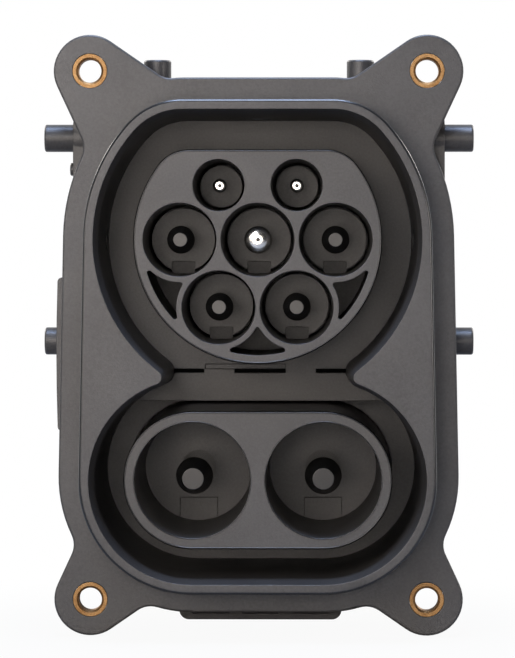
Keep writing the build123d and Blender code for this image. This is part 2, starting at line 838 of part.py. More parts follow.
def ac_retainer_screw_places():
    """Where the AC retainer is screwed to the carrier, on its centre line."""
    return [(0, ac_centre_z + signal_rise), (0, ac_centre_z - ac_retainer_screw_drop)]


def ac_pin_retainer():
    """The plate that traps the AC pins' shoulders."""
    outline = flat_topped_disc(ac_retainer_radius, ac_retainer_top, ac_retainer_blend)
    back_y = ac_retainer_y + ac_retainer_thickness
    body = slab(outline, ac_retainer_y, back_y)
    for x, z in power_places.values():
        body -= bar(x, z, power_tail_d + 2 * running_gap, ac_retainer_y, back_y)
    for x, z in signal_places.values():
        body -= bar(x, z, signal_tail_d + 2 * running_gap, ac_retainer_y, back_y)
    return body - through_holes(ac_retainer_screw_places(), ac_retainer_y, back_y)


def ac_carrier_screws():
    """The screws that hold the AC stack to the housing."""
    return screws(ac_lug_places(), ac_retainer_y, ac_carrier_thickness + screw_grip)


def ac_retainer_screws():
    """The short screws that hold the AC retainer to the carrier."""
    seat_y = ac_retainer_y + ac_retainer_thickness
    return screws(ac_retainer_screw_places(), seat_y, ac_retainer_thickness + short_screw_grip)


def crimp_bore(x, z, diameter, end_y, depth):
    """The blind bore in a contact's tail that takes the wire."""
    return bar(x, z, diameter, end_y - depth, end_y)


def peg_bore(x, z, peg_d, peg_length, pin_y):
    """The blind bore in a pin's front that takes the peg of its cap."""
    return bar(x, z, peg_d + 2 * fit_gap, pin_y, pin_y + peg_length + fit_gap)


def bare_nose(pin, x, z, tip_y, rounding):
    """A pin given a rounded nose with a small centre dimple."""
    nose = pin.faces().sort_by(Axis.Y)[0]
    return fillet(nose.edges(), rounding) - bar(x, z, dimple_d, tip_y, tip_y + dimple_depth)


def power_pin(x, z, tip_y):
    """An AC power contact: pin, seat, shoulder and crimp barrel."""
    sections = [(tip_y, power_pin_d), (power_boss_y, power_seat_d), (ac_shoulder_y, power_shoulder_d)]
    end_y = ac_retainer_y + power_tail_length
    pin = stepped(x, z, [*sections, (ac_retainer_y, power_tail_d)], end_y)
    return pin - crimp_bore(x, z, power_tail_bore_d, end_y, crimp_bore_depth)


def live_pin(x, z):
    """A power contact whose front takes a touch-safe cap."""
    return power_pin(x, z, power_pin_y) - peg_bore(x, z, cap_peg_d, cap_peg_length, power_pin_y)


def earth_pin(x, z):
    """The earth contact, longer than the others and bare to its domed tip."""
    tip_y = ac_face_y + earth_tip_setback
    return bare_nose(power_pin(x, z, tip_y), x, z, tip_y, earth_nose_round)


def signal_pin(x, z):
    """A signal contact with its bare rounded tip."""
    tip_y, end_y = ac_face_y + signal_tip_setback, ac_retainer_y + signal_tail_length
    sections = [(tip_y, signal_pin_d), (signal_boss_y, signal_seat_d), (ac_shoulder_y, signal_shoulder_d)]
    pin = stepped(x, z, [*sections, (ac_retainer_y, signal_tail_d)], end_y)
    pin = bare_nose(pin, x, z, tip_y, signal_nose_round)
    return pin - crimp_bore(x, z, signal_tail_bore_d, end_y, crimp_bore_depth)


def nose_cap(x, z, tip_y, tip_d, pin_y, pin_d, peg_d, peg_length):
    """The touch-safe nose of a live pin: a tapered cap with a peg pressed into the pin."""
    cone = turned([(tip_y, tip_d / 2), (pin_y, pin_d / 2)], x, z)
    tip = cone.faces().sort_by(Axis.Y)[0]
    cone = fillet(tip.edges(), cap_tip_round)
    return cone + bar(x, z, peg_d, pin_y, pin_y + peg_length)


def power_cap(x, z):
    """The cap of an AC live pin."""
    tip_y = ac_face_y + power_tip_setback
    return nose_cap(x, z, tip_y, power_tip_d, power_pin_y, power_pin_d, cap_peg_d, cap_peg_length)


def dc_cap(x, z):
    """The cap of a DC pin."""
    tip_y = dc_face_y + dc_tip_setback
    return nose_cap(x, z, tip_y, dc_tip_d, dc_pin_y, dc_pin_d, dc_peg_d, dc_peg_length)


def pin_seal(x, z, outer_d, seat_d, y_front, y_back):
    """The flat ring that seals a pin in front of its shoulder."""
    return ring(x, z, outer_d, seat_d + 2 * fit_gap, y_front, y_back)


def dc_contact_carrier():
    """The DC insert: a long rounded block with two deep chambers and seats for the pins."""
    body = drafted(dc_disc, [(dc_face_y, 0), (dc_clamp_y, dc_insert_draft)])
    outline = dc_slot(dc_clamp_radius)
    for x, z in dc_lug_places():
        outline += lug(x, z, copysign(dc_pitch / 2, x), dc_centre_z)
    body += slab(outline, dc_clamp_y, dc_block_y)
    body += slab(dc_slot(dc_block_radius), dc_block_y, dc_retainer_y)
    floor_radius = dc_chamber_radius - dc_chamber_draft
    for x, z in dc_places.values():
        body -= turned([(dc_face_y, dc_chamber_radius), (dc_chamber_floor_y, floor_radius)], x, z)
        body -= pin_seat(x, z, dc_seat_d, dc_shoulder_d, dc_chamber_floor_y, dc_seal_y, dc_retainer_y)
        pad = Pos(x, z - dc_pad_drop - floor_radius / 2) * Rectangle(dc_pad_width, floor_radius)
        pad = pad & Pos(x, z) * Circle(floor_radius)
        body -= slab(pad, dc_chamber_floor_y, dc_chamber_floor_y + dc_pad_step)
    body -= through_holes(dc_lug_places(), dc_clamp_y, dc_block_y)
    return body - screw_holes(dc_retainer_screw_places(), dc_retainer_y, short_screw_grip)


def dc_carrier_gasket():
    """A flat seal between the DC carrier's flange and the recess floor."""
    outline = dc_slot(dc_clamp_radius) - dc_slot(dc_opening_radius)
    for disc in discs(dc_lug_places(), screw_boss_d / 2 + scallop_gap):
        outline -= disc
    return slab(outline, dc_gasket_y, dc_clamp_y)


def dc_retainer_screw_places():
    """Where the DC retainer is screwed to the carrier, between the two pins."""
    return [(0, dc_centre_z - dc_block_radius / 2), (0, dc_centre_z + dc_block_radius / 2)]


def dc_pin_retainer():
    """The plate that traps the DC pins' shoulders, slotted so that it slides on from above."""
    back_y = dc_retainer_y + dc_retainer_thickness
    outline = dc_slot(dc_block_radius)
    slot_d = dc_neck_d + 2 * running_gap
    for x, z in dc_places.values():
        outline -= Pos(x, z) * Circle(slot_d / 2)
        outline -= Pos(x, z - dc_block_radius / 2) * Rectangle(slot_d, dc_block_radius)
    plate = slab(outline, dc_retainer_y, back_y)
    return plate - through_holes(dc_retainer_screw_places(), dc_retainer_y, back_y)


def dc_pin(x, z):
    """A DC contact: a thick pin with a seat, a shoulder, a neck and a crimp barrel."""
    end_y = dc_barrel_y + dc_barrel_length
    sections = [(dc_pin_y, dc_pin_d), (dc_chamber_floor_y, dc_seat_d), (dc_shoulder_y, dc_shoulder_d)]
    sections += [(dc_retainer_y, dc_neck_d), (dc_barrel_y, dc_barrel_d)]
    pin = stepped(x, z, sections, end_y) - peg_bore(x, z, dc_peg_d, dc_peg_length, dc_pin_y)
    return pin - crimp_bore(x, z, dc_barrel_bore_d, end_y, dc_crimp_depth)


def dc_carrier_screws():
    """The screws that hold the DC carrier to the housing."""
    return screws(dc_lug_places(), dc_block_y, clamp_thickness + short_screw_grip)


def dc_retainer_screws():
    """The short screws that hold the DC retainer to the carrier."""
    seat_y = dc_retainer_y + dc_retainer_thickness
    return screws(dc_retainer_screw_places(), seat_y, dc_retainer_thickness + short_screw_grip)


def temperature_sensor(x, z):
    """A small sensor with a hollowed foot that sits on a DC pin's barrel."""
    seat = dc_barrel_d / 2 - sensor_sink
    middle_y = dc_barrel_y + sensor_gap_to_barrel_end + sensor_length / 2
    block = Pos(x, middle_y, z + seat + sensor_height / 2) * Box(sensor_width, sensor_length, sensor_height)
    top = block.faces().sort_by(Axis.Z)[-1]
    block = chamfer(top.edges(), sensor_sink)
    return block - bar(x, z, dc_barrel_d + 2 * fit_gap, dc_barrel_y, dc_barrel_y + dc_barrel_length)


def gland_places():
    """Each cable outlet: its place, stub diameter and the face that the stub stands on."""
    outlets = {name: (place, dc_stub_d, cover_dc_y) for name, place in dc_places.items()}
    outlets["ac"] = ((0, ac_centre_z), ac_stub_d, cover_ac_y)
    return outlets


def rear_cover():
    """The shell over the wiring, with a screwed flange and three cable outlets."""
    shell = slab(tub_outline(-cover_inset), cover_y, cover_ac_y)
    shell = fillet(shell.faces().sort_by(Axis.Y)[-1].edges(), cover_edge_round)
    tail = slab(dc_slot(cover_tail_radius), cover_body_y, cover_dc_y)
    shell += fillet(tail.faces().sort_by(Axis.Y)[-1].edges(), cover_edge_round)
    shell += slab(tub_outline(rear_rim_border), cover_y, cover_body_y)
    for (x, z), stub_d, face_y in gland_places().values():
        shell += bar(x, z, stub_d, face_y - cover_wall, face_y + stub_length)
    shell -= slab(tub_outline(-cover_inset - cover_wall), cover_y, cover_ac_y - cover_wall)
    shell -= slab(dc_slot(cover_tail_radius - cover_wall), cover_body_y, cover_dc_y - cover_wall)
    for (x, z), stub_d, face_y in gland_places().values():
        seat_d, end_y = stub_d - 2 * stub_wall, face_y + stub_length
        shell -= bar(x, z, seat_d - 2 * stub_step, face_y - cover_wall, end_y)
        shell -= bar(x, z, seat_d, end_y - gland_seal_length, end_y)
    return shell - through_holes(cover_screw_places(), cover_y, cover_body_y)


def cover_gasket():
    """A flat seal between the housing's rear rim and the cover."""
    outline = tub_outline(rear_rim_border) - tub_outline(0)
    return slab(outline, rear_y, cover_y) - through_holes(cover_screw_places(), rear_y, cover_y)


def cover_screws():
    """The screws that hold the rear cover to the housing."""
    length = cover_flange_thickness + gasket_thickness + screw_grip
    return screws(cover_screw_places(), cover_body_y, length)


def gland_seal(x, z, stub_d, face_y):
    """The rubber sleeve that grips a cable in its outlet."""
    seat_d, end_y = stub_d - 2 * stub_wall, face_y + stub_length
    outer_d = seat_d - 2 * fit_gap
    return ring(x, z, outer_d, outer_d - 2 * gland_seal_wall, end_y - gland_seal_length, end_y)


def gland_nut(x, z, stub_d, face_y):
    """The ribbed nut that closes a cable outlet and presses on its seal."""
    end_y = face_y + stub_length
    inner_d = stub_d + 2 * nut_gap
    outer_d = inner_d + 2 * nut_wall
    start_y = end_y + nut_end_wall - nut_length
    mouth_d = stub_d - 2 * stub_wall - 2 * gland_seal_wall + 2 * nut_lip
    nut = bar(x, z, outer_d, start_y, end_y + nut_end_wall)
    back = nut.faces().sort_by(Axis.Y)[-1]
    nut = fillet(back.edges(), nut_end_wall / 2)
    turn = 360 / nut_rib_count
    for index in range(nut_rib_count):
        angle = radians((index + 0.5) * turn)
        rib_x, rib_z = x + outer_d / 2 * cos(angle), z + outer_d / 2 * sin(angle)
        nut += bar(rib_x, rib_z, nut_rib_d, start_y, end_y + nut_end_wall / 2)
    nut -= bar(x, z, inner_d, start_y, end_y)
    return nut - bar(x, z, mouth_d, end_y, end_y + nut_end_wall)


def lock_port_seal(middle, facing):
    """A rubber bush that fills the seat at the mouth of a lock port."""
    mouth, inward = Vector(middle) + Vector(0, lock_y, 0), Vector(facing) * -1
    bush = round_rod(mouth, inward, lock_seat_d - 2 * fit_gap, lock_seat_depth)
    return bush - round_rod(mouth, inward, lock_bore_d, lock_seat_depth)


def save(shape, node):
    """Writes one piece under its node's name."""
    export_step(shape, f"parts/{node}.step")


save(front_housing(), "front_housing")
for name, (x, z) in ear_places.items():
    save(limiter(x, z), f"{name}_limiter")
for hand, (middle, facing) in pads().items():
    save(lock_port_seal(middle, facing), f"{hand}_lock_port_seal")

save(ac_contact_shroud(), "ac_contact_shroud")
save(ac_shroud_gasket(), "ac_shroud_gasket")
save(ac_pin_carrier(), "ac_pin_carrier")
save(ac_pin_retainer(), "ac_pin_retainer")
save(ac_carrier_screws(), "ac_carrier_screws")
save(ac_retainer_screws(), "ac_retainer_screws")

for name, (x, z) in power_places.items():
    if name == "earth":
        save(earth_pin(x, z), "earth_pin")
    else:
        save(live_pin(x, z), f"{name}_pin")
        save(power_cap(x, z), f"{name}_pin_cap")
    save(pin_seal(x, z, power_shoulder_d, power_seat_d, ac_seal_y, ac_shoulder_y), f"{name}_pin_seal")
for name, (x, z) in signal_places.items():
    save(signal_pin(x, z), f"{name}_pin")
    save(pin_seal(x, z, signal_shoulder_d, signal_seat_d, ac_seal_y, ac_shoulder_y), f"{name}_pin_seal")

save(dc_contact_carrier(), "dc_contact_carrier")
save(dc_carrier_gasket(), "dc_carrier_gasket")
save(dc_pin_retainer(), "dc_pin_retainer")
save(dc_carrier_screws(), "dc_carrier_screws")
save(dc_retainer_screws(), "dc_retainer_screws")
for name, (x, z) in dc_places.items():
    save(dc_pin(x, z), f"{name}_pin")
    save(dc_cap(x, z), f"{name}_pin_cap")
    save(pin_seal(x, z, dc_shoulder_d, dc_seat_d, dc_seal_y, dc_shoulder_y), f"{name}_pin_seal")
    save(temperature_sensor(x, z), f"{name}_temperature_sensor")

save(rear_cover(), "rear_cover")
save(cover_gasket(), "cover_gasket")
save(cover_screws(), "cover_screws")
for name, ((x, z), stub_d, face_y) in gland_places().items():
    save(gland_seal(x, z, stub_d, face_y), f"{name}_gland_seal")
    save(gland_nut(x, z, stub_d, face_y), f"{name}_gland_nut")
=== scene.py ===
import bmesh
import bpy
import numpy as np
from math import cos, pi, radians, sin
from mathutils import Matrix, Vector


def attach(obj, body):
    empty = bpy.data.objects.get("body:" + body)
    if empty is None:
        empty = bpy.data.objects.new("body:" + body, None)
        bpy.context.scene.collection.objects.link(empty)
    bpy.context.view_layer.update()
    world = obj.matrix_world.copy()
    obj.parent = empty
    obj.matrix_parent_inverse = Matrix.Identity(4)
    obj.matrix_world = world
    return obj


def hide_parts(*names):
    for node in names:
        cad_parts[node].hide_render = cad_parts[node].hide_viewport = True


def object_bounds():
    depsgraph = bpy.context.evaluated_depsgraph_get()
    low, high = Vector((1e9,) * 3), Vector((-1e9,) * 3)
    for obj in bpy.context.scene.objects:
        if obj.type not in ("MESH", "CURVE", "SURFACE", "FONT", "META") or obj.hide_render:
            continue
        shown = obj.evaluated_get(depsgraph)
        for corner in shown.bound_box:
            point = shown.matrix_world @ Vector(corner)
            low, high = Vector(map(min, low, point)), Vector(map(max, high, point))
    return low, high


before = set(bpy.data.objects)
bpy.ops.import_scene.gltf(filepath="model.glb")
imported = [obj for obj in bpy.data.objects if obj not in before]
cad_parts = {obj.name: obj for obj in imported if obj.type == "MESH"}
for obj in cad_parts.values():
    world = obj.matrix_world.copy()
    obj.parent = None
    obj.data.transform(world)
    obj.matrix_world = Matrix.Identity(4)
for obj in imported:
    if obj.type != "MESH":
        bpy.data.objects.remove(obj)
cad_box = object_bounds()
mm = 0.001

# The view: a long lens, a little to the right of the AC group and level with it, turned
# towards the middle of the flange. It stands about 0.85 m in front of the inlet.
eye = Vector((12.5, -868.2, 21.8)) * mm
sight = Vector((-0.01, -18.2, 1.78)) * mm
long_lens = bpy.data.cameras.new("long_lens")
long_lens.sensor_width, long_lens.lens = 36.0, 213.7
long_lens.clip_start, long_lens.clip_end = 0.05, 50.0
viewer = bpy.data.objects.new("viewer", long_lens)
viewer.location = eye
viewer.rotation_mode = "QUATERNION"
viewer.rotation_quaternion = (sight - eye).to_track_quat("-Z", "Y")
bpy.context.scene.collection.objects.link(viewer)
bpy.context.scene.camera = viewer
bpy.context.scene.view_settings.view_transform = "Standard"

# The front housing is one moulding of glass-filled black nylon: flange, collar, recess,
# lock pads, duct and rear rim. The tool is spark-eroded, so every face carries a fine
# even grain, and the edges come out a little rounded and smoother than the faces.
def moulding_grain():
    """Node group: the grain of a spark-eroded mould, from noise on Object coordinates.
    Height is fine noise, Tone is a slow drift mixed with specks of about the grain's size,
    and Gloss is another drift mixed with the grain. Both sizes are in millimetres."""
    tree = bpy.data.node_groups.new("moulding_grain", "ShaderNodeTree")
    for name, usual in (("Grain size", 0.35), ("Drift size", 22.0)):
        socket = tree.interface.new_socket(name, in_out="INPUT", socket_type="NodeSocketFloat")
        socket.default_value = usual
    for name in ("Height", "Tone", "Gloss"):
        tree.interface.new_socket(name, in_out="OUTPUT", socket_type="NodeSocketFloat")
    node, link = tree.nodes.new, tree.links.new
    given, made = node("NodeGroupInput"), node("NodeGroupOutput")
    place = node("ShaderNodeTexCoord")

    def noise(size, factor, detail):
        """Noise whose scale per metre is the factor over the size in metres."""
        per_metre = node("ShaderNodeMath")
        per_metre.operation = "DIVIDE"
        per_metre.inputs[0].default_value = factor / mm
        link(given.outputs[size], per_metre.inputs[1])
        field = node("ShaderNodeTexNoise")
        field.inputs["Detail"].default_value = detail
        link(place.outputs["Object"], field.inputs["Vector"])
        link(per_metre.outputs[0], field.inputs["Scale"])
        return field.outputs["Fac"]

    def blend(first, second, share):
        """The first value with a share of the second in it."""
        mixed = node("ShaderNodeMix")
        mixed.inputs["Factor"].default_value = share
        link(first, mixed.inputs["A"])
        link(second, mixed.inputs["B"])
        return mixed.outputs["Result"]

    grain = noise("Grain size", 1.0, 3.0)
    specks = noise("Grain size", 0.6, 1.0)
    drift = noise("Drift size", 1.0, 2.0)
    sheen = noise("Drift size", 2.3, 3.0)
    link(grain, made.inputs["Height"])
    link(blend(drift, specks, 0.45), made.inputs["Tone"])
    link(blend(sheen, grain, 0.35), made.inputs["Gloss"])
    return tree


grain_group = moulding_grain()


def new_finish(name):
    """A new material, with its nodes and the call that links them."""
    finish = bpy.data.materials.new(name)
    finish.use_nodes = True
    return finish, finish.node_tree.nodes, finish.node_tree.links.new


def tone_run(nodes, dark, light, start, end):
    """A ramp from a dark colour to a light one as the noise goes from start to end."""
    ramp = nodes.new("ShaderNodeValToRGB")
    first, last = ramp.color_ramp.elements
    first.position, last.position = start, end
    first.color, last.color = (*dark, 1), (*light, 1)
    return ramp


def span(nodes, start, end, low=0.0, high=1.0):
    """A Map Range node: low at start, high at end, even between them and level beyond."""
    node = nodes.new("ShaderNodeMapRange")
    node.inputs["From Min"].default_value, node.inputs["From Max"].default_value = start, end
    node.inputs["To Min"].default_value, node.inputs["To Max"].default_value = low, high
    return node


def relief_bump(nodes, strength, depth):
    """A Bump node for a relief whose depth is in millimetres."""
    relief = nodes.new("ShaderNodeBump")
    relief.inputs["Strength"].default_value = strength
    relief.inputs["Distance"].default_value = depth * mm
    return relief


def moulded_plastic(name, dark, light, rough, smooth, grain_size, grain_height, edge_round, gleam=0.4):
    """A moulded plastic: its colour runs from dark to light and its roughness from smooth to
    rough with the grain group, and a bump on rounded edges gives the grain its relief."""
    finish, nodes, link = new_finish(name)
    shader = nodes["Principled BSDF"]
    shader.inputs["Specular IOR Level"].default_value = gleam
    grain = nodes.new("ShaderNodeGroup")
    grain.node_tree = grain_group
    grain.inputs["Grain size"].default_value = grain_size
    tones = tone_run(nodes, dark, light, 0.36, 0.64)
    gloss = span(nodes, 0.3, 0.7, smooth, rough)
    edges = nodes.new("ShaderNodeBevel")
    edges.samples = 6
    edges.inputs["Radius"].default_value = edge_round * mm
    relief = relief_bump(nodes, 0.6, grain_height)
    link(grain.outputs["Tone"], tones.inputs["Fac"])
    link(tones.outputs["Color"], shader.inputs["Base Color"])
    link(grain.outputs["Gloss"], gloss.inputs["Value"])
    link(gloss.outputs["Result"], shader.inputs["Roughness"])
    link(grain.outputs["Height"], relief.inputs["Height"])
    link(edges.outputs["Normal"], relief.inputs["Normal"])
    link(relief.outputs["Normal"], shader.inputs["Normal"])
    return finish


def settle(mesh, name, finish, crease, nodes=()):
    """Gives a finished mesh its crisp edges and finish, makes it an object on the root body, and hides the nodes that
    it stands for.
    """
    mesh.polygons.foreach_set("use_smooth", np.ones(len(mesh.polygons), bool))
    mesh.set_sharp_from_angle(angle=radians(crease))
    mesh.materials.append(finish)
    mesh.update()
    piece = bpy.data.objects.new(name, mesh)
    bpy.context.scene.collection.objects.link(piece)
    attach(piece, "root")
    if nodes:
        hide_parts(*nodes)
    return piece


def whole_skin(node, finish, crease=26.0):
    """The node's surface as one closed skin. Corners at one place, to a ten-thousandth of a
    millimetre, become one corner, every face is smooth, and an edge stays crisp where its
    faces turn by more than the crease angle in degrees."""
    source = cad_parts[node].data
    corners = np.empty(len(source.vertices) * 3, np.float32)
    source.vertices.foreach_get("co", corners)
    order = np.empty(len(source.loops), np.int32)
    source.loops.foreach_get("vertex_index", order)
    places, joined = np.unique(np.round(corners.reshape(-1, 3), 7), axis=0, return_inverse=True)
    faces = joined.ravel()[order].reshape(-1, 3)
    kept = (faces[:, 0] != faces[:, 1]) & (faces[:, 1] != faces[:, 2]) & (faces[:, 2] != faces[:, 0])
    mesh = bpy.data.meshes.new(f"{node}_skin")
    mesh.from_pydata(places, [], faces[kept])
    piece = settle(mesh, f"{node}_skin", finish, crease, (node,))
    flat_first = piece.modifiers.new("flat_first", "WEIGHTED_NORMAL")
    flat_first.keep_sharp = True


nylon_dark, nylon_light, nylon_rough, nylon_smooth = (0.034, 0.032, 0.031), (0.052, 0.050, 0.049), 0.41, 0.35
housing_nylon = moulded_plastic(
    "housing_nylon", nylon_dark, nylon_light, nylon_rough, nylon_smooth,
    grain_size=0.30, grain_height=0.05, edge_round=0.3,
)
whole_skin("front_housing", housing_nylon)

# Four compression limiters, pressed into the ears so that the bolts don't crush the nylon.
# They are sintered bronze tubes: golden, porous, with a wide chamfer at each mouth.
def rounded(corners, radius, steps=4, hold=0.04):
    """Rounds the inner corners of a (depth, radius) path. At each corner an arc touches both
    sides at bend / tan(half the angle), and a point at hold before and after it keeps the
    sides' shading straight. The arc's points turn evenly about its centre."""
    path = [np.array(corners[0], float)]
    for before, here, after in zip(corners, corners[1:], corners[2:]):
        here = np.array(here, float)
        to, away = np.array(before) - here, np.array(after) - here
        reach = min(np.linalg.norm(to), np.linalg.norm(away))
        to, away = to / np.linalg.norm(to), away / np.linalg.norm(away)
        half = np.arccos(np.clip(to @ away, -1, 1)) / 2
        bend = min(radius, 0.35 * reach * np.tan(half))
        touch = bend / np.tan(half)
        spare = min(hold, 0.1 * reach)
        middle = here + (to + away) / np.linalg.norm(to + away) * bend / np.sin(half)
        start, end = here + to * touch - middle, here + away * touch - middle
        share = np.linspace(0, 1, steps + 1)[:, None]
        turn = pi - 2 * half
        arc = middle + (np.sin((1 - share) * turn) * start + np.sin(share * turn) * end) / np.sin(turn)
        path += [here + to * (touch + spare), *arc, here + away * (touch + spare)]
    return np.array([*path, np.array(corners[-1], float)])


def rounded_ring(corners, radius, hold=0.04):
    """The same for a path that closes on itself, with every corner rounded."""
    return rounded([corners[-1], *corners, corners[0]], radius, 2, hold)[1:-1]


def close_poles(mesh):
    """Joins the corners that share a place at the poles and turns all faces outwards."""
    work = bmesh.new()
    work.from_mesh(mesh)
    bmesh.ops.remove_doubles(work, verts=work.verts, dist=1e-7)
    bmesh.ops.recalc_face_normals(work, faces=work.faces)
    work.to_mesh(mesh)
    work.free()


def grid_skin(name, grid, finish, nodes=(), hollow=False):
    """The surface over a grid of points. Each row closes on itself, and face (i, j) joins
    points j and j + 1 of rows i and i + 1. In a hollow piece the last row joins the first."""
    count, around = grid.shape[:2]
    rows, columns = np.meshgrid(np.arange(count), np.arange(around), indexing="ij")
    if not hollow:
        rows, columns = rows[:-1], columns[:-1]
    near, far = rows * around, (rows + 1) % count * around
    after = (columns + 1) % around
    faces = np.stack([near + columns, near + after, far + after, far + columns], axis=-1).reshape(-1, 4)
    mesh = bpy.data.meshes.new(name)
    mesh.from_pydata(grid.reshape(-1, 3) * mm, [], faces)
    close_poles(mesh)
    settle(mesh, name, finish, 40.0, nodes)


def turned(name, path, x, z, finish, nodes=(), around=72, hollow=False):
    """A surface turned about the line (x, z) along Y. Point (i, j) lies at depth y_i and at
    (x + r_i sin a, z + r_i cos a), with a = 2 pi j / around. A solid one closes in a point
    at each end, a hollow one on itself."""
    angle = np.arange(around) * 2 * pi / around
    grid = np.empty((len(path), around, 3))
    grid[..., 0] = x + path[:, 1:] * np.sin(angle)
    grid[..., 1] = path[:, :1]
    grid[..., 2] = z + path[:, 1:] * np.cos(angle)
    grid_skin(name, grid, finish, nodes, hollow)


def bare_metal(name, dark, light, rough, smooth, turning, pores, relief_depth):
    """A bare metal. Turned lines are noise stretched along X and Z, pores are fine noise, and
    the mean of both drives colour, roughness and relief. The sizes are in millimetres."""
    finish, nodes, link = new_finish(name)
    shader = nodes["Principled BSDF"]
    shader.inputs["Metallic"].default_value = 1.0
    place = nodes.new("ShaderNodeTexCoord")
    stretch = nodes.new("ShaderNodeMapping")
    stretch.inputs["Scale"].default_value = (0.06, 1.0, 0.06)
    lines, grain = nodes.new("ShaderNodeTexNoise"), nodes.new("ShaderNodeTexNoise")
    for noise, size, detail in ((lines, turning, 3.0), (grain, pores, 4.0)):
        noise.inputs["Scale"].default_value = 1 / (size * mm)
        noise.inputs["Detail"].default_value = detail
    both = nodes.new("ShaderNodeMix")
    both.inputs["Factor"].default_value = 0.5
    tones = tone_run(nodes, dark, light, 0.35, 0.65)
    gloss = span(nodes, 0.3, 0.7, smooth, rough)
    relief = relief_bump(nodes, 0.35, relief_depth)
    link(place.outputs["Object"], stretch.inputs["Vector"])
    link(stretch.outputs["Vector"], lines.inputs["Vector"])
    link(place.outputs["Object"], grain.inputs["Vector"])
    link(lines.outputs["Fac"], both.inputs["A"])
    link(grain.outputs["Fac"], both.inputs["B"])
    link(both.outputs["Result"], tones.inputs["Fac"])
    link(both.outputs["Result"], gloss.inputs["Value"])
    link(both.outputs["Result"], relief.inputs["Height"])
    link(tones.outputs["Color"], shader.inputs["Base Color"])
    link(gloss.outputs["Result"], shader.inputs["Roughness"])
    link(relief.outputs["Normal"], shader.inputs["Normal"])
    return finish


sintered_bronze = bare_metal(
    "sintered_bronze", (0.17, 0.085, 0.03), (0.42, 0.25, 0.11),
    rough=0.62, smooth=0.45, turning=0.25, pores=0.28, relief_depth=0.05,
)
hole_x, hole_z = 37.25, 58.45
limiter_length, limiter_radius, limiter_bore, limiter_chamfer = 5.2, 3.8, 2.55, 0.45
limiter_mouth = limiter_bore + limiter_chamfer
limiter_path = rounded_ring([
    (-limiter_length, limiter_mouth), (-limiter_length, limiter_radius), (0, limiter_radius), (0, limiter_mouth),
    (-limiter_chamfer, limiter_bore), (-limiter_length + limiter_chamfer, limiter_bore),
], radius=0.06)
for level, ear_z in (("upper", hole_z), ("lower", -hole_z)):
    for hand, ear_x in (("left", -hole_x), ("right", hole_x)):
        node = f"{level}_{hand}_limiter"
        turned(f"{node}_tube", limiter_path, ear_x, ear_z, sintered_bronze, (node,), hollow=True)

# Soft parts: the bushes in the lock ports, the flat gaskets and the rings round the pins
# are moulded black silicone, matt and slightly dusty. They are slipped in by hand and held
# by the parts that they seal.
seal_silicone = moulded_plastic(
    "seal_silicone", (0.022, 0.022, 0.023), (0.034, 0.034, 0.036),
    rough=0.82, smooth=0.68, grain_size=0.5, grain_height=0.012, edge_round=0.15,
)


def finish_node(node, finish):
    """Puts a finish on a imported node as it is."""
    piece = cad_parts[node]
    piece.data.materials.clear()
    piece.data.materials.append(finish)


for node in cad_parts:
    if node.endswith(("_seal", "gasket")):
        finish_node(node, seal_silicone)

# The AC insert: a contact shroud with seven deep chambers and three cored pockets, and the
# pin carrier whose bosses close the chambers. Both are moulded in the housing's dark nylon
# and held by screws from behind, as is the retainer that keeps the pins in.
insert_nylon = moulded_plastic(
    "insert_nylon", nylon_dark, nylon_light, nylon_rough, nylon_smooth,
    grain_size=0.28, grain_height=0.04, edge_round=0.25,
)
whole_skin("ac_contact_shroud", insert_nylon)
whole_skin("ac_pin_carrier", insert_nylon)
finish_node("ac_pin_retainer", insert_nylon)
ac_level, ac_face_y = 21.2, -18.2
ac_insert_radius, ac_insert_top, ac_insert_blend = 26.85, 19.4, 7.9

# The DC insert: one long carrier with two deep chambers and round ends, moulded in the same
# nylon and screwed in from behind with its own retainer.
whole_skin("dc_contact_carrier", insert_nylon)
finish_node("dc_pin_retainer", insert_nylon)
dc_level, dc_middle, dc_face_y = -31.4, 14.35, -15.5
dc_insert_radius, dc_chamber_radius = 14.85, 12.8
dc_pins = {"dc_plus": (-dc_middle, dc_level), "dc_minus": (dc_middle, dc_level)}

# The inserts' outer edges and the mouths of the DC chambers are rounded and smooth, and each is a fine
# round bead along its corner. The beads' smooth finish catches the lamps as a thin line, and their colour,
# darker than the nylon's, is painted shade for the dark side of each round. Outside each insert and deeper
# lies a black bead, painted shade for the narrow gap round it.
# Painted shade: the edge beads' colour is darker than the nylon's, for the dark side of each round.
smooth_shaded_edge_nylon = moulded_plastic(
    "smooth_shaded_edge_nylon", (0.010,) * 3, (0.016,) * 3,
    rough=0.24, smooth=0.18, grain_size=0.5, grain_height=0.002, edge_round=0.02, gleam=0.5,
)
# Painted shade: plain black for the gap round each insert and for the drain slots' floors.
painted_shade_black = moulded_plastic(
    "painted_shade_black", (0.001,) * 3, (0.002,) * 3,
    rough=0.9, smooth=0.8, grain_size=0.3, grain_height=0.01, edge_round=0.02, gleam=0.05,
)


def arc_line(x, z, radius, start, end, count):
    """Points on a circle about (x, z), at even angles from start to end, in degrees clockwise
    from the top."""
    turn = np.radians(np.linspace(start, end, count))
    return np.stack([x + radius * np.sin(turn), z + radius * np.cos(turn)], axis=1)


def top_corner(radius, top, blend):
    """The corner between a flat top and a circle about the AC centre. Its arc has its centre
    blend below the top and blend inside the circle, and ends where both face the same way.
    Gives that centre's x and z and the angle of the end."""
    level = top - blend
    side = np.sqrt((radius - blend) ** 2 - level**2)
    return side, ac_level + level, np.degrees(np.arctan2(side, level))


def flat_topped_line(radius, top, blend):
    """The outline of a disc about the AC centre with a flat top: a corner, the large arc round
    to the other side, and the other corner."""
    side, level, turn = top_corner(radius, top, blend)
    right = arc_line(side, level, blend, 0, turn, 25)
    round_side = arc_line(0, ac_level, radius, turn, 360 - turn, 160)[1:-1]
    left = arc_line(-side, level, blend, 360 - turn, 360, 25)
    return np.concatenate([right, round_side, left])


